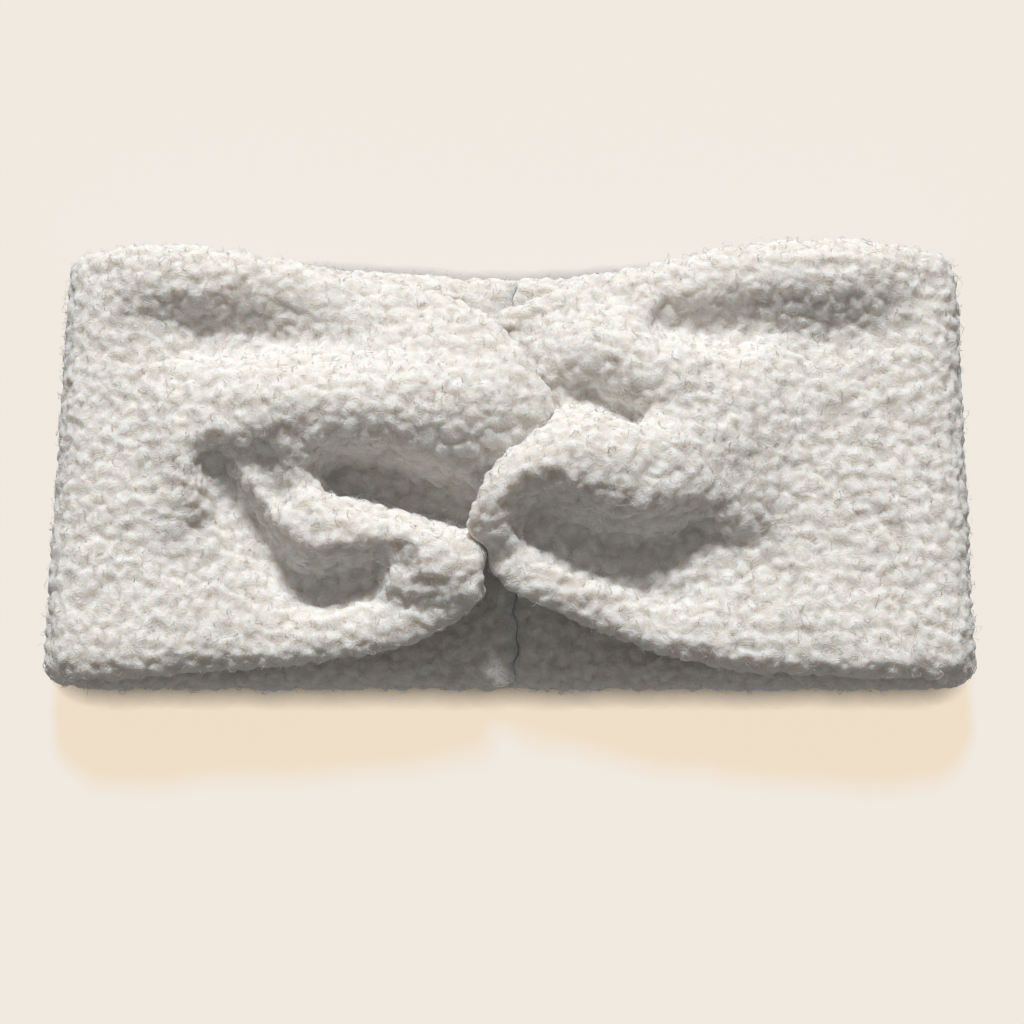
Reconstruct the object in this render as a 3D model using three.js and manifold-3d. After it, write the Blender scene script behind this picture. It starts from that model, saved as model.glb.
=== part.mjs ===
// Ear warmer headband with a twist knot, laid flat: a closed loop of thick curly fleece.
// Two halves of one band hook into each other at the front knot and meet at a seam behind.
// Millimetres. +Z is up, +Y points to the band's far hem and +X to the right.
// The origin lies on the surface that the band rests on, under the middle of its box.
import * as THREE from 'three';
import { LoftGeometry } from 'three/addons/geometries/LoftGeometry.js';
import { mergeVertices } from 'three/addons/utils/BufferGeometryUtils.js';
import Module from 'manifold-3d';

const wasm = await Module();
wasm.setup();

// Driving dimensions of the laid band
const LAID_WIDTH = 240; // from side fold to side fold
const BAND_HEIGHT = 115; // from far hem to near hem
const PLY_THICKNESS = 10; // one ply of doubled fleece, pile included
const FOLD_THICKNESS = 8; // the same cloth where the knot squeezes it
const HEAD_GAP = 6; // hollow for the head between back ply and front ply
const KNOT_RISE = 24; // from the plain front ply up to the knot's highest fold
const DENT_DEPTH = 1; // how far the dents beside the knot sink into the hollow
const SEAM_GAP = 0.4; // clear space between the two halves at the back seam
const HOOK_GAP = 0.4; // clear space between them in the knot
const LEFT_LEAN = 2.5; // how far the left side fold leans in at the far hem
const RIGHT_LEAN = 0.5; // the same on the right
const SEAM_DIP = 3; // how far the far hem dips towards the back seam

const HALF_WIDTH = LAID_WIDTH / 2;
const BACK_MIDDLE = PLY_THICKNESS / 2; // height of the back ply's middle surface
const FOLD_RADIUS = (PLY_THICKNESS + HEAD_GAP) / 2; // of the side fold's middle surface
const FRONT_MIDDLE = BACK_MIDDLE + 2 * FOLD_RADIUS;

// Fold lines of the cloth's middle surface, far hem first, each with its name, the place where it
// runs on plain cloth and its points over the front, from the cheek to the knot.
// plain: share of the band's height, 0.5 at the far hem.
// along: share of the half width from the middle outwards, negative past the middle.
// across: share of the band's height.
// rise: share of the knot's rise, from the plain front ply.
const LEFT_FOLDS = [
  ['far hem', 0.5, [[0.82, 0.5, 0.04], [0.65, 0.48, 0.1], [0.48, 0.45, 0.1],
    [0.31, 0.42, 0.14], [0.14, 0.37, 0.3], [0.01, 0.28, 0.56]]],
  ['far roll', 0.42, [[0.81, 0.42, 0.16], [0.65, 0.405, 0.33], [0.48, 0.385, 0.3],
    [0.3, 0.34, 0.3], [0.13, 0.29, 0.42], [-0.03, 0.22, 0.6]]],
  ['dent', 0.3, [[0.8, 0.285, 0], [0.65, 0.265, -0.04], [0.49, 0.26, 0.03],
    [0.3, 0.22, 0.42], [0.11, 0.19, 0.67], [-0.07, 0.16, 0.62]]],
  ['upper crest', 0.19, [[0.8, 0.17, 0.04], [0.62, 0.14, 0.33], [0.46, 0.12, 0.67],
    [0.29, 0.09, 0.79], [0.1, 0.08, 0.83], [-0.1, 0.1, 0.54]]],
  ['lip', 0.11, [[0.8, 0.1, 0.04], [0.61, 0.07, 0.42], [0.46, 0.045, 0.62],
    [0.3, 0.015, 0.57], [0.12, -0.01, 0.57], [-0.07, 0.02, 0.47]]],
  ['wall', 0.06, [[0.8, 0.05, 0.04], [0.59, 0.035, 0.44], [0.44, 0, 0.48],
    [0.3, -0.015, 0.22], [0.13, -0.045, 0.22], [-0.03, -0.03, 0.22]]],
  ['pocket', 0.01, [[0.8, 0, 0.04], [0.57, -0.01, 0.44], [0.43, -0.06, 0.28],
    [0.3, -0.085, -0.04], [0.13, -0.125, -0.04], [0.02, -0.12, -0.02]]],
  ['lower crest', -0.1, [[0.79, -0.1, 0.04], [0.57, -0.07, 0.38], [0.45, -0.16, 0.44],
    [0.3, -0.215, 0.55], [0.15, -0.26, 0.58], [0.05, -0.28, 0.48]]],
  ['crease', -0.25, [[0.79, -0.24, 0], [0.63, -0.13, 0], [0.53, -0.3, -0.04],
    [0.35, -0.31, -0.04], [0.17, -0.3, 0.18], [0.05, -0.3, 0.38]]],
  ['near roll', -0.42, [[0.78, -0.42, 0.04], [0.62, -0.39, 0.04], [0.46, -0.41, 0.04],
    [0.29, -0.39, 0.1], [0.16, -0.355, 0.22], [0.05, -0.32, 0.32]]],
  ['near hem', -0.5, [[0.78, -0.5, 0], [0.63, -0.485, 0], [0.47, -0.47, 0],
    [0.3, -0.45, 0.04], [0.16, -0.405, 0.12], [0.07, -0.345, 0.24]]],
];
const RIGHT_FOLDS = [
  ['far hem', 0.5, [[0.82, 0.5, 0.04], [0.64, 0.5, 0.06], [0.49, 0.49, 0.08],
    [0.34, 0.46, 0.12], [0.18, 0.42, 0.17], [-0.06, 0.33, 0.05]]],
  ['far roll', 0.42, [[0.81, 0.43, 0.25], [0.63, 0.42, 0.33], [0.49, 0.41, 0.28],
    [0.34, 0.37, 0.25], [0.19, 0.34, 0.27], [-0.02, 0.27, 0]]],
  ['dent', 0.3, [[0.81, 0.3, -0.02], [0.64, 0.3, -0.04], [0.5, 0.29, 0],
    [0.34, 0.27, 0.4], [0.19, 0.28, 0.48], [0, 0.22, 0.02]]],
  ['upper crest', 0.18, [[0.8, 0.18, 0.04], [0.63, 0.18, 0.06], [0.47, 0.17, 0.35],
    [0.33, 0.16, 0.65], [0.19, 0.2, 0.6], [0.03, 0.16, 0.12]]],
  ['pocket', 0.05, [[0.8, 0.05, 0.04], [0.62, 0.05, 0.06], [0.46, 0.05, 0.45],
    [0.31, 0.07, 0.55], [0.18, 0.12, 0.28], [0.02, 0.05, 0.06]]],
  ['lower crest', -0.07, [[0.79, -0.07, 0.04], [0.61, -0.05, 0.06], [0.44, -0.04, 0.45],
    [0.3, -0.03, 0.8], [0.14, -0.02, 0.96], [-0.07, -0.12, 0.72]]],
  ['belly', -0.16, [[0.79, -0.16, 0.02], [0.6, -0.12, 0.04], [0.44, -0.13, 0.36],
    [0.3, -0.17, 0.62], [0.13, -0.15, 0.76], [-0.095, -0.175, 0.61]]],
  ['crease', -0.27, [[0.79, -0.27, 0], [0.61, -0.21, 0], [0.5, -0.19, -0.04],
    [0.36, -0.29, -0.04], [0.17, -0.27, 0.06], [-0.08, -0.22, 0.5]]],
  ['near roll', -0.42, [[0.78, -0.43, 0.04], [0.62, -0.41, 0.04], [0.49, -0.4, 0.04],
    [0.34, -0.39, 0.08], [0.17, -0.345, 0.17], [-0.05, -0.265, 0.4]]],
  ['near hem', -0.5, [[0.79, -0.5, 0], [0.62, -0.49, 0], [0.48, -0.48, 0],
    [0.33, -0.45, 0.04], [0.18, -0.395, 0.15], [-0.01, -0.31, 0.3]]],
];

// Mesh steps along each span of a fold line, from the seam to the knot's tip
const BACK_STEPS = [2, 3];
const SIDE_STEPS = [2, 2, 2, 2];
const FRONT_STEPS = [2, 4, 4, 4, 5];
const TIP_STEPS = 4;
const SPAN_STEPS = [...BACK_STEPS, ...SIDE_STEPS, ...FRONT_STEPS, TIP_STEPS];
const KNOT_START = (BACK_STEPS.length + SIDE_STEPS.length + 1) / SPAN_STEPS.length;
const ACROSS_STEPS = 3; // mesh steps between two neighbouring fold lines
const ROUND_STEPS = 3; // mesh steps round a hem or round the tip
const ROUND_SHARE = 0.5; // share of the last span that this rounding takes

const fleece = () => new THREE.MeshStandardMaterial({ color: 0xe6e2de, roughness: 0.95, metalness: 0 });

// A fold line as a smooth curve from the back seam round the side fold to the knot, right half
function foldLine([, plain, front], lean) {
  const across = plain * BAND_HEIGHT;
  const foldCentre = HALF_WIDTH - FOLD_RADIUS - PLY_THICKNESS / 2 - lean * (plain + 0.5);
  const points = [
    new THREE.Vector3(SEAM_GAP / 2, across - SEAM_DIP * (plain + 0.5), BACK_MIDDLE),
    new THREE.Vector3(foldCentre / 2, across, BACK_MIDDLE),
  ];
  for (let i = 0; i <= SIDE_STEPS.length; i++) {
    const turn = (Math.PI * i) / SIDE_STEPS.length;
    const side = FOLD_RADIUS * Math.sin(turn);
    const height = BACK_MIDDLE + FOLD_RADIUS * (1 - Math.cos(turn));
    points.push(new THREE.Vector3(foldCentre + side, across, height));
  }
  for (const [along, place, rise] of front) {
    points.push(new THREE.Vector3(
      along * HALF_WIDTH,
      place * BAND_HEIGHT,
      FRONT_MIDDLE + rise * KNOT_RISE,
    ));
  }
  return new THREE.CatmullRomCurve3(points);
}

// Places on a rounded edge, from its outermost point inwards, each with its share of the thickness
function roundedEdge() {
  return Array.from({ length: ROUND_STEPS }, (_, i) => {
    const turn = (Math.PI / 2) * (i / ROUND_STEPS);
    return { at: ROUND_SHARE * (1 - Math.cos(turn)), full: Math.sin(turn) };
  });
}

// Stations from the back seam to the rounded tip
function stationsAlong() {
  const spans = SPAN_STEPS.length;
  const stations = [{ at: 0, full: 1 }];
  SPAN_STEPS.forEach((steps, span) => {
    const room = span === spans - 1 ? 1 - ROUND_SHARE : 1;
    for (let i = 1; i <= steps; i++) {
      stations.push({ at: (span + (room * i) / steps) / spans, full: 1 });
    }
  });
  const tip = roundedEdge().map(({ at, full }) => ({ at: (spans - at) / spans, full }));
  return [...stations, ...tip.reverse()];
}

// Places from the far hem to the near hem, both rounded
function placesAcross(lineCount) {
  const spans = lineCount - 1;
  const hem = roundedEdge();
  const plain = [];
  const steps = Math.round((spans - 2 * ROUND_SHARE) * ACROSS_STEPS);
  for (let i = 0; i <= steps; i++) {
    plain.push({ at: ROUND_SHARE + ((spans - 2 * ROUND_SHARE) * i) / steps, full: 1 });
  }
  const nearHem = hem.map(({ at, full }) => ({ at: spans - at, full })).reverse();
  return [...hem, ...plain, ...nearHem].map(({ at, full }) => ({ at: at / spans, full }));
}

// Thickness of the cloth at a station, less where the knot squeezes it
function thicknessAt(at) {
  const squeezed = THREE.MathUtils.smoothstep(at, KNOT_START, 1);
  return THREE.MathUtils.lerp(PLY_THICKNESS, FOLD_THICKNESS, squeezed);
}

// One half of the band as a closed loft. side is 1 for the right half and -1 for the left.
function bandHalf({ folds, side, lean }) {
  const lines = folds.map((fold) => foldLine(fold, lean));
  const stations = stationsAlong();
  const places = placesAcross(lines.length);
  const surface = stations.map(({ at }) => {
    const section = new THREE.CatmullRomCurve3(lines.map((line) => line.getPoint(at)));
    const lowest = at > KNOT_START ? FRONT_MIDDLE - DENT_DEPTH : BACK_MIDDLE;
    return places.map((place) => {
      const point = section.getPoint(place.at);
      point.z = Math.max(point.z, lowest);
      return point;
    });
  });
  const sections = stations.map((station, i) => {
    const row = surface[i];
    const before = surface[Math.max(i - 1, 0)];
    const after = surface[Math.min(i + 1, surface.length - 1)];
    const outer = [];
    const inner = [];
    places.forEach((place, j) => {
      const along = after[j].clone().sub(before[j]);
      const across = row[Math.min(j + 1, row.length - 1)].clone().sub(row[Math.max(j - 1, 0)]);
      const outward = along.cross(across).normalize();
      const depth = (thicknessAt(station.at) / 2) * station.full * place.full;
      outer.push(row[j].clone().addScaledVector(outward, depth));
      inner.push(row[j].clone().addScaledVector(outward, -depth));
    });
    const ring = [...outer, ...inner.slice(1, -1).reverse()];
    ring.forEach((point) => point.setX(point.x * side));
    return side > 0 ? ring.reverse() : ring;
  });
  const loft = new THREE.BufferGeometry();
  loft.copy(new LoftGeometry(sections, { closed: true, capStart: true }));
  loft.deleteAttribute('normal');
  loft.deleteAttribute('uv');
  return mergeVertices(loft, 1e-4);
}

// The same form grown by a clearance on every side
function grown(geometry, clearance) {
  const copy = geometry.clone();
  copy.computeVertexNormals();
  const { position, normal } = copy.attributes;
  for (let i = 0; i < position.count; i++) {
    const moved = new THREE.Vector3().fromBufferAttribute(position, i);
    moved.addScaledVector(new THREE.Vector3().fromBufferAttribute(normal, i), clearance);
    position.setXYZ(i, ...moved);
  }
  return copy;
}

// Geometry as a solid for cutting, and a solid as geometry
function toSolid(geometry) {
  return new wasm.Manifold(new wasm.Mesh({
    numProp: 3,
    vertProperties: new Float32Array(geometry.attributes.position.array),
    triVerts: new Uint32Array(geometry.index.array),
  }));
}

function toGeometry(solid) {
  const mesh = solid.getMesh();
  const geometry = new THREE.BufferGeometry();
  geometry.setAttribute('position', new THREE.BufferAttribute(mesh.vertProperties, 3));
  geometry.setIndex(new THREE.BufferAttribute(mesh.triVerts, 1));
  return geometry;
}

function namedMesh(name, geometry) {
  geometry.computeVertexNormals();
  const mesh = new THREE.Mesh(geometry, fleece());
  mesh.name = name;
  return mesh;
}

const leftGeometry = bandHalf({ folds: LEFT_FOLDS, side: -1, lean: LEFT_LEAN });
const rightWhole = toSolid(bandHalf({ folds: RIGHT_FOLDS, side: 1, lean: RIGHT_LEAN }));
const rightGeometry = toGeometry(rightWhole.subtract(toSolid(grown(leftGeometry, HOOK_GAP))));

const group = new THREE.Group();
group.add(namedMesh('left_band', leftGeometry), namedMesh('right_band', rightGeometry));
const box = new THREE.Box3().setFromObject(group);
const middle = box.getCenter(new THREE.Vector3());
group.position.set(-middle.x, -middle.y, -box.min.z);

export default group;
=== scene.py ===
"""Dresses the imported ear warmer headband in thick, curly cream fleece and lays it in soft light.

Each half of the band becomes a fleece piece. Its solid is remeshed finely and softened, some folds
are pressed deeper, and the surface is raised into clumps with small nubs on them, as boucle fleece
is. Curls of yarn and fine fibres stand on it. Lengths are in metres where no comment gives another
unit.
"""
import math

import bpy
import numpy as np
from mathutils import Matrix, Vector
from mathutils.bvhtree import BVHTree


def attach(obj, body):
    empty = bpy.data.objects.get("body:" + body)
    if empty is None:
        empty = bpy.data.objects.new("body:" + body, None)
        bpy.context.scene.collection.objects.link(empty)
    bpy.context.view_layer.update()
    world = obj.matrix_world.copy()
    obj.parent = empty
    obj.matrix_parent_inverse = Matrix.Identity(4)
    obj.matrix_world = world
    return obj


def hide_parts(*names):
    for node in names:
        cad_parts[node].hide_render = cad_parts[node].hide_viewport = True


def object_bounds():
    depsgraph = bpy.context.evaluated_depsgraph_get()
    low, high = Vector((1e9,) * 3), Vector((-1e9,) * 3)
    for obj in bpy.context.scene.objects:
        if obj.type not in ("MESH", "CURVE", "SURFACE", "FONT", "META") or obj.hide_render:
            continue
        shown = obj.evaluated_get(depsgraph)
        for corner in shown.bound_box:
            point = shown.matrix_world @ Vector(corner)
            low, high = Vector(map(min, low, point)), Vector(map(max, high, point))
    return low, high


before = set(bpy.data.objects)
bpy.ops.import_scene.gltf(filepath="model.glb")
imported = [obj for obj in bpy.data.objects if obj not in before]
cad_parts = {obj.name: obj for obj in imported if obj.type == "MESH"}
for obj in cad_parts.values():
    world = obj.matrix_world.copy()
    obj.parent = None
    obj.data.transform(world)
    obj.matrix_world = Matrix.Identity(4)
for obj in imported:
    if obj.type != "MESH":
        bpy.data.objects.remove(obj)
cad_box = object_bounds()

HALVES = ("left", "right")

# Folds that lie deeper, or stand up more, than in the solids. A row is a route of places over the
# floor (x, y, z), how far to each side of it the fold holds, and the width over which it slopes off
# beyond. In millimetres.
PRESSED = {
    # route, half width, slope
    "left": [
        # the pocket beside the knot
        ([(-43, -6, 20.5), (-34, -7, 20), (-22, -11, 20), (-12, -15, 20.5)], 3.0, 5.0),
        # the crescent crease round the lower arm
        ([(-75, -4, 24.5), (-72, -12, 22), (-67, -19, 21), (-63, -26, 20.5), (-58, -32, 20.5),
          (-52, -35, 20.5), (-44, -34.5, 20.5), (-35, -33, 23.5), (-29, -32, 33)], 1.8, 6.5),
        # the left end of the ridge between them
        ([(-64, -4, 30), (-60, -12, 29)], 1.5, 7.0),
        # the dent under the far roll
        ([(-91, 33, 25.5), (-80, 32, 24), (-68, 30, 26)], 1.0, 8.0),
    ],
    "right": [
        # the dent under the far roll
        ([(42, 34, 26), (50, 33, 24.5), (60, 33, 24.5)], 0.5, 10.0),
        # the crease under the lobe
        ([(8, -21, 30), (16, -25, 27), (26, -28, 26), (38, -29, 25.5), (48, -25, 25.5)], 3.5, 8.0),
        # the notch above the lobe
        ([(13, 14, 30.5), (21, 13, 30.5), (32, 7, 31)], 0.3, 5.0),
    ],
}
PLUMPED = {
    # route, half width, slope
    "left": [
        # the end of the lower arm
        ([(-27, -36, 33), (-19, -37, 34), (-9, -36.5, 35)], 0.5, 5.0),
    ],
    "right": [
        # the near ridge, below the crease
        ([(2, -31, 33), (12, -34, 32), (22, -38, 30), (30, -41, 28)], 0.5, 5.0),
    ],
}
PRESSED_UNDERSIDE = 15.2  # the front ply's underside is pressed down to this height
PLUMPED_FROM = 16.72  # only what is higher than this is plumped up
UPWARD_EASE = 0.3  # a normal's height over which cloth turns from looking down to looking up

# The seam behind, where the halves' back plies meet
SEAM_REACH = 0.005  # this near it, each half's fleece is drawn towards the other's
SEAM_GAP = 0.00012
SEAM_ROUNDING = 0.003  # this near it, the corner that softening rounded is lifted back
SEAM_CORNER = (0.0075, 0.0102)  # heights between which that corner is
SEAM_CORNER_FADE = 0.001  # height over which the lift sets in
SEAM_LIFT = 0.75  # share of the lost height that is lifted back
SEAM_WAVES = (
    # swing, length and start of the waves in which the seam strays
    (0.0006, 0.017, 0.0),
    (0.0004, 0.0071, 1.0),
)
SEAM_LEAN = 0.3  # how far it leans to one side, for each metre of height

# Room between the two halves' fleece
CLEARANCE = 0.00015
CLEARED_REACH = 0.016  # the left half reaches a little less far than this past the middle
TOUCHING = 0.0005  # only what is this near the other half's surface is moved
CLEARING_ROUNDS = 2

# The fleece's own form
ROUGH_STEP = 0.001  # edge length of the mesh that is pressed
ROUGH_SOFTENING = 3
SKIN_STEP = 0.0005  # edge length of its mesh where it shows
SKIN_TRIANGLES = 195000  # what is left of a half's mesh after its hidden sides are thinned out
SOFTENING = 16  # passes that round off the solid's facets
LUMP_SIZE = 0.012  # slow unevenness of the plush
LUMP_HEIGHT = 0.0018
CLUMP_SPACING = 0.0038  # least way from one clump of curls to the next
CLUMP_REACH = 0.0033
CLUMP_HEIGHT = 0.0012
NUB_SPACING = 0.0017  # the small nubs on the clumps
NUB_REACH = 0.0014
NUB_HEIGHT = 0.0002
DOME_SHARPNESS = 1.5
WANDER_SHARE = 2.0  # how far clumps and nubs stray from round, in reaches
WANDER_WAVES = 0.9  # waves of that straying in a reach
MELTING = 4  # passes that let clumps and nubs flow into each other
SINK = 0.0006  # between its nubs the fleece lies this far inside the solid
ROOM_TO_PUFF = 0.004  # pile with other cloth nearer than this in front of it is pressed flatter
FLATTEST_SHARE = 0.25
RAY_START = 0.0003  # a look out from the cloth starts this far over it, so as not to meet it
FLOOR_SQUEEZE = 0.0012  # height over the floor below which the pile is squeezed together
MOST_POINTS = 600000.0  # scattered points a square metre before their spacing thins them out

# The curls of yarn, which lean out of the fleece
CURL_SPACING = 0.0030  # least way from one curl to the next
BACK_CURL_SPACING = 1.6 * CURL_SPACING
CURL_RADIUS = 0.0010
CURL_SIZES = (0.75, 1.25)  # shares of that radius
CURL_THICKNESS = 0.00006
CURL_TILTS = (0.15, 0.6)  # radians that a curl stands up from the fleece
CURL_ROLL = 0.2  # radians that it leans to one side at most
CURL_WANDER = 0.0012  # how far the yarn strays from a true arc
CURL_WAVES = 0.7  # waves of that straying in a radius
CURL_OPENINGS = (60, 110, 170)  # degrees of a full turn that are missing at a curl's feet
CURL_POINTS = 9
YARN_SIDES = 3

# The fine fibres that stand out of it
FIBRE_SPACING = 0.0036
FIBRE_RADIUS = 0.0012
FIBRE_THICKNESS = 0.000035
FIBRE_TILTS = (0.6, 1.5)
FIBRE_WANDER = 0.0016

# The hollow for the head, between the two plies
HOLLOW_FLOOR = (0.008, 0.014)  # heights between which cloth that looks up is the hollow's floor
COVERED_REACH = 0.04
COVERED_FACING = 0.4  # a normal's height from which a ply looks up or down
HEM_MARGIN = 0.016  # inside the hollow, yarn grows only this near the hems

# What is little seen and thinned out
THINNED_MARGIN = 1.5 * HEM_MARGIN
THINNED_DOWNWARD = -0.5  # a normal's height under which it looks at the floor
THINNED_UPWARD = 0.25  # and over which it looks up into the hollow
THINNED_MOST = 1.0
THINNED_LEAST = 0.1

# The fleece's tones, with painted shade: darker and warmer in the hollows between nubs, paler on
# their tops
RISE_SHOWN = (-0.7, 0.8)  # millimetres of the pile's height, from the darkest painted shade to the palest tone
# painted shade and light: the pile's colour goes from a dark warm tone low in the cavities to a pale
# one on the tops
CAVITY_SHADE_TONES = (
    # share of that height, colour
    (0.0, (0.73, 0.695, 0.65)),
    (0.45, (0.84, 0.815, 0.78)),
    (1.0, (0.92, 0.91, 0.89)),
)
PATCH_SIZE = 0.012  # slow mottling
PATCH_TONE = (0.80, 0.775, 0.745, 1)
PATCH_SHARE = 0.3
YARN_TONES = (
    # value of the yarn's own mottling, colour
    (0.3, (0.93, 0.92, 0.90)),
    (0.7, (0.97, 0.965, 0.955)),
)
YARN_PATCH_SIZE = 0.003
YARN_THROUGH = 0.65  # share of the light that shines through the yarn

# The finest fibres, which are painted fibre highlights and shade lines, and bump
LOCK_SIZE = 0.003
STRANDS_A_LOCK = 7
# painted shade: this darker tone is mixed in between the whorls' pale fibre lines, which stand for
# fibre highlights
STRAND_SHADE_TONE = (0.62, 0.585, 0.54, 1)
STRAND_SHADE_SHARE = 0.24
STRAND_RELIEF = 0.0001
FUZZ_SIZE = 0.0004
FUZZ_RELIEF = 0.0001
FUZZ_STRENGTH = 0.5

# The floor, which glows so that shadows on it stay light and warm
FLOOR_SIZE = 6
FLOOR_GLOW = 0.86
FLOOR_GLOW_COLOUR = (1.0, 0.83, 0.62, 1)
FLOOR_COLOUR = (0.02, 0.12, 0.25, 1)  # bluish, so that lit floor comes out a neutral cream
# painted contact shade: near the band the floor's colour turns to this dark tone and its glow dims
CONTACT_SHADE_COLOUR = (0.02, 0.018, 0.015, 1)
CONTACT_SHADE_REACH = 0.006  # width of the painted contact shade, a soft dark line around the band
CONTACT_SHADE_SHARPNESS = 1.5
CONTACT_SHADE_SAMPLES = 3

# The key light, high over the far side
KEY_STRENGTH = 3.2
KEY_WIDTH = math.radians(9)
KEY_COLOUR = (1.0, 0.99, 0.975)
KEY_TURN = (math.radians(-46), math.radians(-3), 0)
FILL_STRENGTH = 0.2
FILL_COLOUR = (1.0, 0.985, 0.95, 1)

# The photograph's camera, over the band and a little to its near side
CAMERA_ELEVATION = math.radians(75)
CAMERA_DISTANCE = 0.7
CAMERA_LENS = 93.8
AIM = Vector((0, 0, 0.015))
PHOTO_SIZE = 1024
AIM_PIXEL = (509.5, 464)  # where the photograph shows the aim point


def add(tree, kind, inputs=(), **settings):
    """A node with its settings, and with its inputs wired to sockets or set to values."""
    made = tree.nodes.new(kind)
    for name, value in settings.items():
        setattr(made, name, value)
    for name, value in dict(inputs).items():
        if isinstance(value, bpy.types.NodeSocket):
            tree.links.new(value, made.inputs[name])
        else:
            made.inputs[name].default_value = value
    return made


def calc(tree, operation, *values):
    """The result of a math node on sockets or numbers."""
    return add(tree, "ShaderNodeMath", dict(enumerate(values)), operation=operation).outputs[0]


def vector_calc(tree, operation, first, second):
    """The vector result of a vector math node on two sockets or vectors."""
    made = add(tree, "ShaderNodeVectorMath", {0: first, 1: second}, operation=operation)
    return made.outputs["Vector"]


def scaled(tree, vector, factor):
    """A vector times a number socket."""
    made = add(tree, "ShaderNodeVectorMath", {0: vector, "Scale": factor}, operation="SCALE")
    return made.outputs["Vector"]


def axes_of(tree, vector):
    return add(tree, "ShaderNodeSeparateXYZ", {0: vector}).outputs


def new_geometry_tree(name, inputs):
    """An empty geometry tree with named inputs: (name, socket kind, default)."""
    tree = bpy.data.node_groups.new(name, "GeometryNodeTree")
    tree.interface.new_socket("Geometry", in_out="INPUT", socket_type="NodeSocketGeometry")
    for label, kind, default in inputs:
        socket = tree.interface.new_socket(label, in_out="INPUT", socket_type=kind)
        if default is not None:
            socket.default_value = default
    tree.interface.new_socket("Geometry", in_out="OUTPUT", socket_type="NodeSocketGeometry")
    return tree, tree.nodes.new("NodeGroupInput").outputs, tree.nodes.new("NodeGroupOutput")


def grown(piece, tree, values):
    """The plain mesh that a geometry tree makes of a piece, with the tree's inputs set by name."""
    modifier = piece.modifiers.new(tree.name, "NODES")
    modifier.node_group = tree
    for item in tree.interface.items_tree:
        if item.in_out == "INPUT" and item.name in values:
            modifier[item.identifier] = values[item.name]
    return applied(piece)


def applied(piece):
    """The plain mesh of a piece with its modifiers in it; the modifiers are removed."""
    seen = piece.evaluated_get(bpy.context.evaluated_depsgraph_get())
    mesh = bpy.data.meshes.new_from_object(seen)
    piece.modifiers.clear()
    mesh.shade_smooth()
    return mesh


def new_piece(name, mesh):
    piece = bpy.data.objects.new(name, mesh)
    bpy.context.scene.collection.objects.link(piece)
    return piece


def softened_copy(half):
    """A half's solid as one fine, even, softened mesh with its deepest folds pressed in."""
    piece = new_piece(f"{half}_soft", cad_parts[f"{half}_band"].data.copy())
    weld = piece.modifiers.new("weld", "WELD")
    weld.merge_threshold = 1e-6
    even_out(piece, ROUGH_STEP)
    soften(piece, ROUGH_SOFTENING)
    piece.data = applied(piece)
    press(piece.data, half)
    even_out(piece, SKIN_STEP)
    soften(piece, SOFTENING)
    piece.data = applied(piece)
    return piece


def even_out(piece, step):
    """Gives a piece one even mesh, with edges as long as the step."""
    even = piece.modifiers.new("even mesh", "REMESH")
    even.mode = "VOXEL"
    even.voxel_size = step


def press(mesh, half):
    """Presses and plumps the front ply along routes, as a hand does that arranges folds."""
    places, normals = arrays_of(mesh)
    looks_up = eased((normals[:, 2] + UPWARD_EASE) / (2 * UPWARD_EASE))
    underside = PRESSED_UNDERSIDE / 1000
    for route, half_width, slope in PRESSED[half]:
        share, height = share_of_route(places, route, half_width, slope)
        level = underside + looks_up * (height - underside)
        places[:, 2] -= share * np.maximum(0, places[:, 2] - level)
    upper = places[:, 2] > PLUMPED_FROM / 1000
    for route, half_width, slope in PLUMPED[half]:
        share, height = share_of_route(places, route, half_width, slope)
        places[:, 2] += share * looks_up * upper * np.maximum(0, height - places[:, 2])
    put_places(mesh, places)


def arrays_of(mesh):
    """A mesh's vertices and their normals as arrays."""
    places = np.empty(len(mesh.vertices) * 3)
    normals = np.empty(len(mesh.vertices) * 3)
    mesh.vertices.foreach_get("co", places)
    mesh.vertices.foreach_get("normal", normals)
    return places.reshape(-1, 3), normals.reshape(-1, 3)


def put_places(mesh, places):
    """Moves a mesh's vertices to the places of an array."""
    mesh.vertices.foreach_set("co", places.ravel())
    mesh.update()


def share_of_route(places, route, half_width, slope):
    """1 on a route and less and less over its slope, and the height of the route's nearest spot."""
    route = np.array(route) / 1000
    way = np.full(len(places), np.inf)
    height = np.zeros(len(places))
    for start, end in zip(route, route[1:]):
        run = end[:2] - start[:2]
        along = np.clip((places[:, :2] - start[:2]) @ run / (run @ run), 0, 1)
        away = places[:, :2] - start[:2] - along[:, None] * run
        here = np.hypot(away[:, 0], away[:, 1])
        nearer = here < way
        way[nearer] = here[nearer]
        height[nearer] = (start[2] + along * (end[2] - start[2]))[nearer]
    return eased((half_width + slope - 1000 * way) / slope), height


def eased(shares):
    """Shares from 0 to 1 that start and end gently."""
    shares = np.clip(shares, 0, 1)
    return shares * shares * (3 - 2 * shares)


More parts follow.
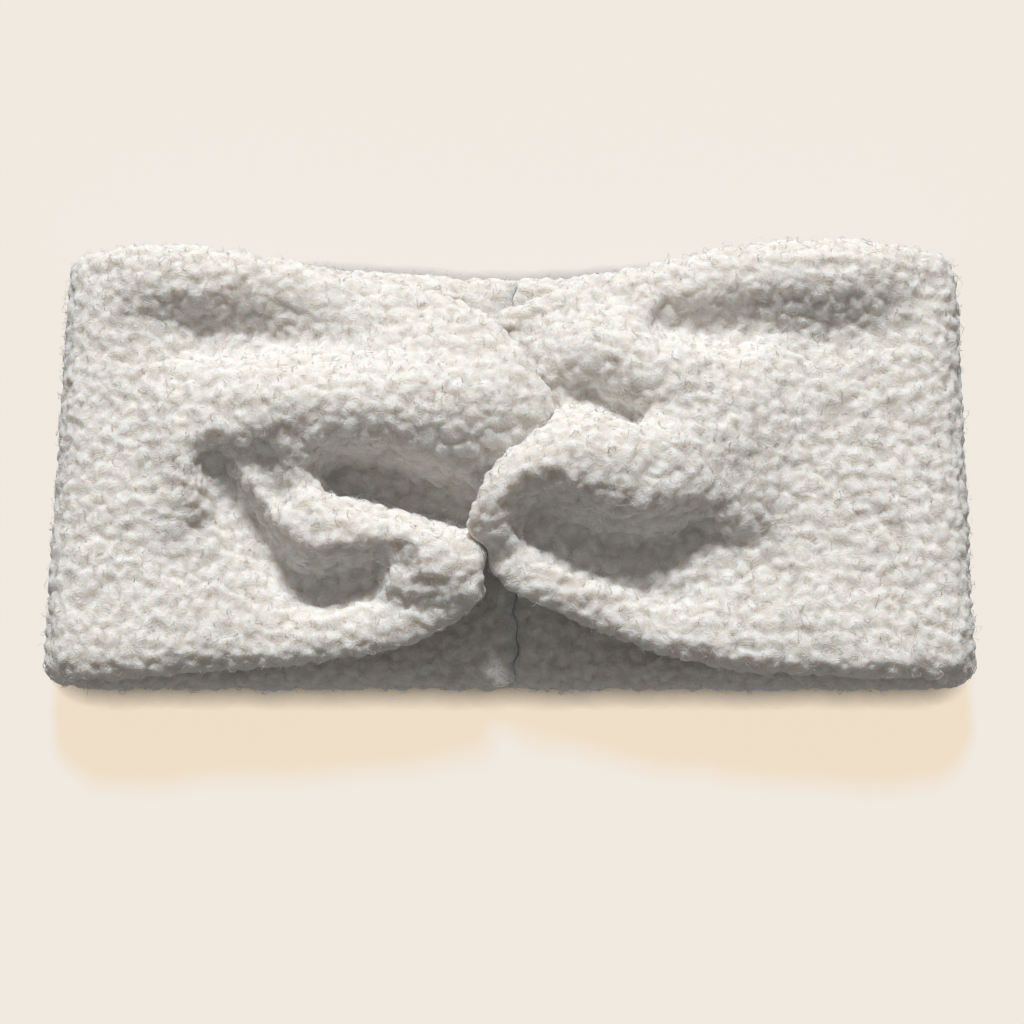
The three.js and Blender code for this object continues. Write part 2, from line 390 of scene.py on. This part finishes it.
def close_seam(mesh, side):
    """Draws the back ply's edge at the seam flat and close to the other half, along a stray line."""
    places, _ = arrays_of(mesh)
    from_seam = side * places[:, 0]
    rounded = 1 - eased(from_seam / SEAM_ROUNDING)
    rounded *= np.clip((places[:, 2] - SEAM_CORNER[0]) / SEAM_CORNER_FADE, 0, 1)
    places[:, 2] += SEAM_LIFT * rounded * np.maximum(0, SEAM_CORNER[1] - places[:, 2])
    share = np.clip((from_seam - SEAM_GAP / 2) / SEAM_REACH, 0, 1)
    drawn = SEAM_GAP / 2 + SEAM_REACH * (3 * share**3 - 2 * share**4)
    middle_of_ply = HOLLOW_FLOOR[0] / 2
    stray = SEAM_LEAN * (places[:, 2] - middle_of_ply)
    for swing, length, start in SEAM_WAVES:
        stray += swing * np.sin(2 * math.pi * places[:, 1] / length + start)
    moved = side * drawn + stray * (1 - eased(share))
    near = (from_seam < SEAM_REACH) & (places[:, 2] < HOLLOW_FLOOR[1])
    places[near, 0] = moved[near]
    put_places(mesh, places)


def soften(piece, passes):
    """Lets a piece's mesh relax."""
    smooth = piece.modifiers.new("soften", "SMOOTH")
    smooth.factor = 0.5
    smooth.iterations = passes


def scattered(tree, given, spacing):
    """Points at least a spacing apart all over the cloth, always the same for one cloth."""
    return add(tree, "GeometryNodeDistributePointsOnFaces", {
        "Mesh": given["Geometry"],
        "Distance Min": spacing,
        "Density Max": MOST_POINTS,
        "Seed": given["Seed"],
    }, distribute_method="POISSON")


def way_to_cloth(tree, given, place, normal):
    """How far from a place the next cloth of either half lies in front of it, in metres."""
    start = vector_calc(tree, "ADD", place, scaled(tree, normal, RAY_START))
    both = add(tree, "GeometryNodeJoinGeometry")
    other = add(tree, "GeometryNodeObjectInfo", {"Object": given["Other Half"]})
    tree.links.new(given["Geometry"], both.inputs[0])
    tree.links.new(other.outputs["Geometry"], both.inputs[0])
    ray = add(tree, "GeometryNodeRaycast", {
        "Target Geometry": both.outputs[0],
        "Source Position": start,
        "Ray Direction": normal,
        "Ray Length": COVERED_REACH,
    })
    missed = calc(tree, "SUBTRACT", 1.0, ray.outputs["Is Hit"])
    return calc(tree, "ADD", ray.outputs["Hit Distance"], missed)


def puff(tree, given, place, normal):
    """1 where the pile can stand up freely, less where other cloth presses on it."""
    return add(tree, "ShaderNodeMapRange", {
        "Value": way_to_cloth(tree, given, place, normal),
        "From Min": 0.0,
        "From Max": ROOM_TO_PUFF,
        "To Min": FLATTEST_SHARE,
        "To Max": 1.0,
    }, interpolation_type="SMOOTHSTEP").outputs[0]


def above_floor(tree, place):
    """A place with heights near and under the floor squeezed into a thin layer just above it."""
    axes = axes_of(tree, place)
    under = calc(tree, "SUBTRACT", calc(tree, "DIVIDE", axes["Z"], FLOOR_SQUEEZE), 1.0)
    squeezed = calc(tree, "MULTIPLY", FLOOR_SQUEEZE, calc(tree, "EXPONENT", under))
    low = calc(tree, "LESS_THAN", axes["Z"], FLOOR_SQUEEZE)
    height = add(tree, "ShaderNodeMix", {0: low, 2: axes["Z"], 3: squeezed}, data_type="FLOAT")
    return add(tree, "ShaderNodeCombineXYZ", {
        "X": axes["X"], "Y": axes["Y"], "Z": height.outputs[0],
    }).outputs[0]


def covered(tree, given, place, normal):
    """1 on cloth inside the head hollow and away from the hems, where nothing is seen."""
    height, facing = axes_of(tree, place)["Z"], axes_of(tree, normal)["Z"]
    hit = calc(tree, "LESS_THAN", way_to_cloth(tree, given, place, normal), COVERED_REACH)
    looks_up = calc(tree, "GREATER_THAN", facing, COVERED_FACING)
    looks_down = calc(tree, "LESS_THAN", facing, -COVERED_FACING)
    low = calc(tree, "LESS_THAN", height, HOLLOW_FLOOR[1])
    high = calc(tree, "GREATER_THAN", height, HOLLOW_FLOOR[0])
    plies = calc(tree, "ADD", calc(tree, "MULTIPLY", looks_up, low),
                 calc(tree, "MULTIPLY", looks_down, high))
    away = calc(tree, "ABSOLUTE", axes_of(tree, place)["Y"])
    deep = calc(tree, "LESS_THAN", away, cad_box[1].y - HEM_MARGIN)
    return calc(tree, "MULTIPLY", calc(tree, "MULTIPLY", hit, plies), deep)


def pile_height(tree, given, place, normal):
    """How far the fleece stands over the softened solid: lumps, clumps on them and nubs on those."""
    lump = add(tree, "ShaderNodeTexNoise", {
        "Vector": place,
        "Scale": calc(tree, "DIVIDE", 1.0, given["Lump Size"]),
        "Detail": 2.0,
    }).outputs["Fac"]
    lump = calc(tree, "MULTIPLY", calc(tree, "SUBTRACT", lump, 0.5), given["Lump Height"])
    clump = domes(tree, given, place, "Clump")
    nub = domes(tree, given, place, "Nub")
    rise = calc(tree, "ADD", lump, calc(tree, "ADD", clump, nub))
    rise = calc(tree, "SUBTRACT", rise, given["Sink"])
    return calc(tree, "MULTIPLY", rise, puff(tree, given, place, normal))


def domes(tree, given, place, kind):
    """The height of one kind of rounded bumps around scattered points, strayed from round."""
    wander = add(tree, "ShaderNodeTexNoise", {
        "Vector": place,
        "Scale": calc(tree, "DIVIDE", WANDER_WAVES, given[f"{kind} Reach"]),
        "Detail": 1.0,
    }).outputs["Color"]
    wander = vector_calc(tree, "SUBTRACT", wander, (0.5, 0.5, 0.5))
    strayed = vector_calc(tree, "ADD", place, scaled(
        tree, wander, calc(tree, "MULTIPLY", given["Wander"], given[f"{kind} Reach"])))
    centres = scattered(tree, given, given[f"{kind} Spacing"])
    nearest = add(tree, "GeometryNodeProximity", {
        "Geometry": centres.outputs["Points"], "Sample Position": strayed,
    }, target_element="POINTS")
    way = calc(tree, "DIVIDE", nearest.outputs["Distance"], given[f"{kind} Reach"])
    dome = calc(tree, "SUBTRACT", 1.0, calc(tree, "MULTIPLY", way, way))
    dome = calc(tree, "MAXIMUM", 0.0, dome)
    dome = calc(tree, "POWER", dome, DOME_SHARPNESS)
    return calc(tree, "MULTIPLY", dome, given[f"{kind} Height"])


def nub_tree():
    """Raises a softened solid into the fleece's lumps, clumps and nubs."""
    tree, given, made = new_geometry_tree("boucle nubs", [
        ("Lump Size", "NodeSocketFloat", LUMP_SIZE),
        ("Lump Height", "NodeSocketFloat", LUMP_HEIGHT),
        ("Clump Spacing", "NodeSocketFloat", CLUMP_SPACING),
        ("Clump Reach", "NodeSocketFloat", CLUMP_REACH),
        ("Clump Height", "NodeSocketFloat", CLUMP_HEIGHT),
        ("Nub Spacing", "NodeSocketFloat", NUB_SPACING),
        ("Nub Reach", "NodeSocketFloat", NUB_REACH),
        ("Nub Height", "NodeSocketFloat", NUB_HEIGHT),
        ("Wander", "NodeSocketFloat", WANDER_SHARE),
        ("Sink", "NodeSocketFloat", SINK),
        ("Other Half", "NodeSocketObject", None),
        ("Seed", "NodeSocketInt", 0),
    ])
    place = tree.nodes.new("GeometryNodeInputPosition").outputs[0]
    normal = tree.nodes.new("GeometryNodeInputNormal").outputs[0]
    rise = pile_height(tree, given, place, normal)
    kept = add(tree, "GeometryNodeStoreNamedAttribute", {
        "Geometry": given["Geometry"],
        "Name": "rise",
        "Value": calc(tree, "MULTIPLY", 1000.0, rise),
    }, data_type="FLOAT", domain="POINT")
    moved = add(tree, "GeometryNodeSetPosition", {
        "Geometry": kept.outputs[0],
        "Position": above_floor(tree, vector_calc(tree, "ADD", place, scaled(tree, normal, rise))),
    })
    tree.links.new(moved.outputs[0], made.inputs[0])
    return tree


def yarn_tree():
    """Open curls of yarn on scattered points of the fleece, where it shows."""
    tree, given, made = new_geometry_tree("boucle yarn", [
        ("Spacing", "NodeSocketFloat", CURL_SPACING),
        ("Curl Radius", "NodeSocketFloat", CURL_RADIUS),
        ("Yarn Radius", "NodeSocketFloat", CURL_THICKNESS),
        ("Wander", "NodeSocketFloat", CURL_WANDER),
        ("Least Tilt", "NodeSocketFloat", CURL_TILTS[0]),
        ("Most Tilt", "NodeSocketFloat", CURL_TILTS[1]),
        ("Side", "NodeSocketFloat", 1.0),
        ("Other Half", "NodeSocketObject", None),
        ("Material", "NodeSocketMaterial", None),
        ("Seed", "NodeSocketInt", 0),
    ])
    points = scattered(tree, given, given["Spacing"])
    place = tree.nodes.new("GeometryNodeInputPosition").outputs[0]
    normal = points.outputs["Normal"]
    known = points.outputs["Points"]
    kept = {
        "up": ("FLOAT_VECTOR", normal),
        "turned": ("QUATERNION", points.outputs["Rotation"]),
        "room": ("FLOAT", puff(tree, given, place, normal)),
        "unseen": ("FLOAT", covered(tree, given, place, normal)),
    }
    for label, (kind, value) in kept.items():
        known = add(tree, "GeometryNodeStoreNamedAttribute", {
            "Geometry": known, "Name": label, "Value": value,
        }, data_type=kind, domain="POINT").outputs[0]
    up, turned, room, unseen = (
        add(tree, "GeometryNodeInputNamedAttribute", {"Name": label}, data_type=kind).outputs[0]
        for label, (kind, _) in kept.items()
    )
    side = calc(tree, "MULTIPLY", axes_of(tree, up)["Z"], given["Side"])
    unseen = calc(tree, "MAXIMUM", unseen, calc(tree, "LESS_THAN", side, 0.0))
    shown = add(tree, "GeometryNodeDeleteGeometry", {
        "Geometry": known, "Selection": unseen,
    }, domain="POINT")
    loops = add(tree, "GeometryNodeGeometryToInstance")
    for opening in CURL_OPENINGS:
        tree.links.new(yarn_curl(tree, given, math.radians(opening)), loops.inputs[0])
    least = add(tree, "ShaderNodeCombineXYZ", {
        "X": given["Least Tilt"], "Y": -CURL_ROLL, "Z": -math.pi,
    })
    most = add(tree, "ShaderNodeCombineXYZ", {
        "X": given["Most Tilt"], "Y": CURL_ROLL, "Z": math.pi,
    })
    spin = add(tree, "FunctionNodeRandomValue", {
        0: least.outputs[0], 1: most.outputs[0], "Seed": given["Seed"],
    }, data_type="FLOAT_VECTOR")
    turned = add(tree, "FunctionNodeRotateRotation", {
        "Rotation": turned,
        "Rotate By": add(tree, "FunctionNodeEulerToRotation", {0: spin.outputs[0]}).outputs[0],
    }, rotation_space="LOCAL")
    size = add(tree, "FunctionNodeRandomValue", {
        2: CURL_SIZES[0], 3: CURL_SIZES[1], "Seed": given["Seed"],
    }, data_type="FLOAT")
    placed = add(tree, "GeometryNodeInstanceOnPoints", {
        "Points": shown.outputs[0],
        "Instance": loops.outputs[0],
        "Pick Instance": True,
        "Rotation": turned.outputs[0],
        "Scale": calc(tree, "MULTIPLY", size.outputs[1], calc(tree, "SQRT", room)),
    })
    real = add(tree, "GeometryNodeRealizeInstances", {0: placed.outputs[0]})
    stray = add(tree, "ShaderNodeTexNoise", {
        "Vector": place,
        "Scale": calc(tree, "DIVIDE", CURL_WAVES, given["Curl Radius"]),
        "Detail": 0.0,
    }).outputs["Color"]
    stray = vector_calc(tree, "SUBTRACT", stray, (0.5, 0.5, 0.5))
    stray = scaled(tree, stray, calc(tree, "MULTIPLY", 2.0, given["Wander"]))
    warped = add(tree, "GeometryNodeSetPosition", {
        "Geometry": real.outputs[0],
        "Position": above_floor(tree, vector_calc(tree, "ADD", place, stray)),
    })
    dressed = add(tree, "GeometryNodeSetMaterial", {
        "Geometry": warped.outputs[0], "Material": given["Material"],
    })
    tree.links.new(dressed.outputs[0], made.inputs[0])
    return tree


def yarn_curl(tree, given, opening):
    """One curl of yarn as a closed tube, open towards -Y, which is sunk when the curl tilts."""
    arc = add(tree, "GeometryNodeCurveArc", {
        "Resolution": CURL_POINTS,
        "Radius": given["Curl Radius"],
        "Start Angle": -math.pi / 2 + opening / 2,
        "Sweep Angle": 2 * math.pi - opening,
    })
    section = add(tree, "GeometryNodeCurvePrimitiveCircle", {
        "Resolution": YARN_SIDES, "Radius": given["Yarn Radius"],
    })
    return add(tree, "GeometryNodeCurveToMesh", {
        "Curve": arc.outputs[0], "Profile Curve": section.outputs[0], "Fill Caps": True,
    }).outputs[0]


def thinned(piece):
    """Thins out a half's skin on the sides that are hidden or lie on the floor."""
    mesh = piece.data
    places, normals = arrays_of(mesh)
    looks_down = normals[:, 2] < THINNED_DOWNWARD
    hollow_floor = (normals[:, 2] > THINNED_UPWARD) & (places[:, 2] < HOLLOW_FLOOR[1])
    hollow_floor &= np.abs(places[:, 1]) < cad_box[1].y - THINNED_MARGIN
    weights = np.where(looks_down | hollow_floor, THINNED_MOST, THINNED_LEAST)
    group = piece.vertex_groups.new(name="little seen")
    for weight in (THINNED_MOST, THINNED_LEAST):
        group.add(np.nonzero(weights == weight)[0].tolist(), weight, "REPLACE")
    thin = piece.modifiers.new("thin", "DECIMATE")
    thin.vertex_group = group.name
    thin.ratio = SKIN_TRIANGLES / triangles_in(mesh)
    mesh = applied(piece)
    piece.vertex_groups.clear()
    return mesh


def keep_clear(mesh, other):
    """Moves what runs into the other half's fleece, or touches it, back by a hair's breadth."""
    there = BVHTree.FromObject(other, bpy.context.evaluated_depsgraph_get())
    for _ in range(CLEARING_ROUNDS):
        for vertex in mesh.vertices:
            if vertex.co.x > CLEARED_REACH:
                continue
            place, normal, _, _ = there.find_nearest(vertex.co, TOUCHING)
            if place is None:
                continue
            away = (vertex.co - place).dot(normal)
            if away < CLEARANCE:
                vertex.co += normal * (CLEARANCE - away)
    mesh.update()


def triangles_in(mesh):
    """How many triangles a mesh comes to."""
    return len(mesh.loops) - 2 * len(mesh.polygons)


def ramp(tree, value, stops):
    """A colour ramp on a value: (position, colour) stops."""
    made = add(tree, "ShaderNodeValToRGB", {"Fac": value})
    elements = made.color_ramp.elements
    while len(elements) < len(stops):
        elements.new(1.0)
    for element, (position, colour) in zip(elements, stops):
        element.position = position
        element.color = (*colour, 1)
    return made.outputs["Color"]


def noise(tree, vector, size, detail=2.0, distortion=0.0):
    """Noise with features of a given size in metres."""
    return add(tree, "ShaderNodeTexNoise", {
        "Vector": vector,
        "Scale": 1 / size,
        "Detail": detail,
        "Distortion": distortion,
    }).outputs["Fac"]


def fleece_material(name):
    """Cream boucle with painted light: painted shade, dark and warm, in the cavities between nubs,
    pale tops, and painted shade lines between pale fibre whorls.
    """
    material = bpy.data.materials.new(name)
    material.use_nodes = True
    tree = material.node_tree
    surface = tree.nodes["Principled BSDF"]
    place = tree.nodes.new("ShaderNodeTexCoord").outputs["Object"]
    rise = add(tree, "ShaderNodeAttribute", attribute_name="rise").outputs["Fac"]
    patch = noise(tree, place, PATCH_SIZE, detail=3)
    height = add(tree, "ShaderNodeMapRange", {
        "Value": rise, "From Min": RISE_SHOWN[0], "From Max": RISE_SHOWN[1],
    }).outputs[0]
    # painted shade: darker and warmer low between the nubs, paler on their tops
    body = ramp(tree, height, CAVITY_SHADE_TONES)
    mottled = add(tree, "ShaderNodeMix", {
        0: calc(tree, "MULTIPLY", patch, PATCH_SHARE),
        6: body,
        7: PATCH_TONE,
    }, data_type="RGBA")
    whorls = strands(tree, place)
    # painted shade lines between the pale whorls of painted fibre highlights
    strand_shaded = add(tree, "ShaderNodeMix", {
        0: calc(tree, "MULTIPLY", calc(tree, "SUBTRACT", 1.0, whorls), STRAND_SHADE_SHARE),
        6: mottled.outputs[2],
        7: STRAND_SHADE_TONE,
    }, data_type="RGBA")
    tree.links.new(strand_shaded.outputs[2], surface.inputs["Base Color"])
    tree.links.new(curly_bump(tree, place, whorls), surface.inputs["Normal"])
    soft_pile(surface)
    return material


def strands(tree, place):
    """Fine fibres that run in whorls, as in brushed curls: the level lines of a slow noise."""
    locks = noise(tree, place, LOCK_SIZE, detail=1.5, distortion=0.6)
    waves = calc(tree, "SINE", calc(tree, "MULTIPLY", locks, 2 * math.pi * STRANDS_A_LOCK))
    return calc(tree, "ADD", calc(tree, "MULTIPLY", waves, 0.5), 0.5)


def curly_bump(tree, place, whorls):
    """The fibres' relief, with a finer fuzz."""
    curled = add(tree, "ShaderNodeBump", {
        "Strength": 1.0, "Distance": STRAND_RELIEF, "Height": whorls,
    })
    fuzz = noise(tree, place, FUZZ_SIZE)
    return add(tree, "ShaderNodeBump", {
        "Strength": FUZZ_STRENGTH,
        "Distance": FUZZ_RELIEF,
        "Height": fuzz,
        "Normal": curled.outputs[0],
    }).outputs[0]


def yarn_material(name):
    """The curls' and fibres' pale yarn, which shines a little and lets light through."""
    material = bpy.data.materials.new(name)
    material.use_nodes = True
    tree = material.node_tree
    surface = tree.nodes["Principled BSDF"]
    place = tree.nodes.new("ShaderNodeTexCoord").outputs["Object"]
    patch = noise(tree, place, YARN_PATCH_SIZE)
    colour = ramp(tree, patch, YARN_TONES)
    tree.links.new(colour, surface.inputs["Base Color"])
    soft_pile(surface)
    surface.inputs["Subsurface Weight"].default_value = 0.0
    surface.inputs["Roughness"].default_value = 0.45
    surface.inputs["Specular IOR Level"].default_value = 0.6
    through = add(tree, "ShaderNodeBsdfTranslucent", {"Color": colour})
    both = add(tree, "ShaderNodeMixShader", {
        0: YARN_THROUGH, 1: surface.outputs[0], 2: through.outputs[0],
    })
    tree.links.new(both.outputs[0], tree.nodes["Material Output"].inputs["Surface"])
    return material


def soft_pile(surface):
    """What all fleece shares: matt, with light that soaks in a little way and a faint sheen."""
    surface.inputs["Roughness"].default_value = 0.95
    surface.inputs["Specular IOR Level"].default_value = 0.15
    surface.inputs["Sheen Weight"].default_value = 0.25
    surface.inputs["Sheen Roughness"].default_value = 0.6
    surface.inputs["Subsurface Weight"].default_value = 0.75
    surface.inputs["Subsurface Scale"].default_value = 0.0045
    surface.inputs["Subsurface Radius"].default_value = (1.0, 0.8, 0.62)


def dress_band():
    """Both halves as fleece pieces with their yarn."""
    soft = {half: softened_copy(half) for half in HALVES}
    nubs, yarn = nub_tree(), yarn_tree()
    cream = yarn_material("cream yarn")
    for seed, half in enumerate(HALVES):
        shared = {"Other Half": soft[HALVES[1 - seed]], "Seed": seed}
        piece = new_piece(f"{half}_fleece", soft[half].data.copy())
        piece.data = grown(piece, nubs, shared)
        soften(piece, MELTING)
        piece.data = applied(piece)
        close_seam(piece.data, -1 if half == "left" else 1)
        piece.data = thinned(piece)
        piece.data.materials.clear()
        piece.data.materials.append(fleece_material(f"cream fleece {half}"))
        curls = shared | {"Material": cream}
        fibres = curls | {
            "Spacing": FIBRE_SPACING,
            "Curl Radius": FIBRE_RADIUS,
            "Yarn Radius": FIBRE_THICKNESS,
            "Wander": FIBRE_WANDER,
            "Least Tilt": FIBRE_TILTS[0],
            "Most Tilt": FIBRE_TILTS[1],
        }
        behind = curls | {"Side": -1.0, "Spacing": BACK_CURL_SPACING}
        tufts = [
            tuft(piece, f"{half}_curls_front", yarn, curls),
            tuft(piece, f"{half}_fibres_front", yarn, fibres),
            tuft(piece, f"{half}_curls_back", yarn, behind),
        ]
        if half == "right":
            keep_clear(piece.data, bpy.data.objects["left_fleece"])
        declare(piece, tufts, half)
    for piece in soft.values():
        bpy.data.objects.remove(piece)


def tuft(cloth, name, tree, values):
    """A half's yarn of one kind as a piece of its own."""
    piece = new_piece(name, cloth.data.copy())
    piece.data = grown(piece, tree, values)
    return piece


def declare(piece, tufts, half):
    """What the frame needs to know of a half's pieces."""
    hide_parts(f"{half}_band")
    for part in (piece, *tufts):
        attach(part, "root")


def floor():
    """A wide pale floor that glows, with painted contact shade that darkens its glow and colour near
    the band; its glow doesn't light the band.
    """
    bpy.ops.mesh.primitive_plane_add(size=FLOOR_SIZE)
    plane = bpy.context.object
    plane.name = "floor"
    material = bpy.data.materials.new("pale floor")
    material.use_nodes = True
    tree = material.node_tree
    surface = tree.nodes["Principled BSDF"]
    surface.inputs["Roughness"].default_value = 1.0
    surface.inputs["Specular IOR Level"].default_value = 0.0
    surface.inputs["Emission Color"].default_value = FLOOR_GLOW_COLOUR
    # painted contact shade: ambient occlusion darkens the floor's glow and colour where it lies
    # close to the band
    openness = add(tree, "ShaderNodeAmbientOcclusion", {
        "Distance": CONTACT_SHADE_REACH,
    }, samples=CONTACT_SHADE_SAMPLES)
    openness = calc(tree, "POWER", openness.outputs["AO"], CONTACT_SHADE_SHARPNESS)
    glow = calc(tree, "MULTIPLY", FLOOR_GLOW, openness)
    tree.links.new(glow, surface.inputs["Emission Strength"])
    colour = add(tree, "ShaderNodeMix", {
        0: openness, 6: CONTACT_SHADE_COLOUR, 7: FLOOR_COLOUR,
    }, data_type="RGBA")
    tree.links.new(colour.outputs[2], surface.inputs["Base Color"])
    plane.data.materials.append(material)
    plane.visible_diffuse = False


def lights():
    """A key light from the far side at 45 degrees, and an even fill from all round."""
    key = bpy.data.lights.new("key", "SUN")
    key.energy = KEY_STRENGTH
    key.angle = KEY_WIDTH
    key.color = KEY_COLOUR
    sun = bpy.data.objects.new("key", key)
    sun.rotation_euler = KEY_TURN
    bpy.context.scene.collection.objects.link(sun)
    world = bpy.data.worlds.new("studio")
    world.use_nodes = True
    fill = world.node_tree.nodes["Background"]
    fill.inputs["Color"].default_value = FILL_COLOUR
    fill.inputs["Strength"].default_value = FILL_STRENGTH
    bpy.context.scene.world = world


def camera():
    """The photograph's view: from above the near side, with the band a little over the middle."""
    data = bpy.data.cameras.new("camera")
    data.lens = CAMERA_LENS
    data.shift_x = (PHOTO_SIZE / 2 - AIM_PIXEL[0]) / PHOTO_SIZE
    data.shift_y = (AIM_PIXEL[1] - PHOTO_SIZE / 2) / PHOTO_SIZE
    view = bpy.data.objects.new("camera", data)
    back = Vector((0, -math.cos(CAMERA_ELEVATION), math.sin(CAMERA_ELEVATION)))
    view.location = AIM + back * CAMERA_DISTANCE
    view.rotation_euler = (-back).to_track_quat("-Z", "Y").to_euler()
    bpy.context.scene.collection.objects.link(view)
    bpy.context.scene.camera = view


dress_band()
floor()
lights()
camera()
bpy.context.scene.view_settings.view_transform = "Standard"
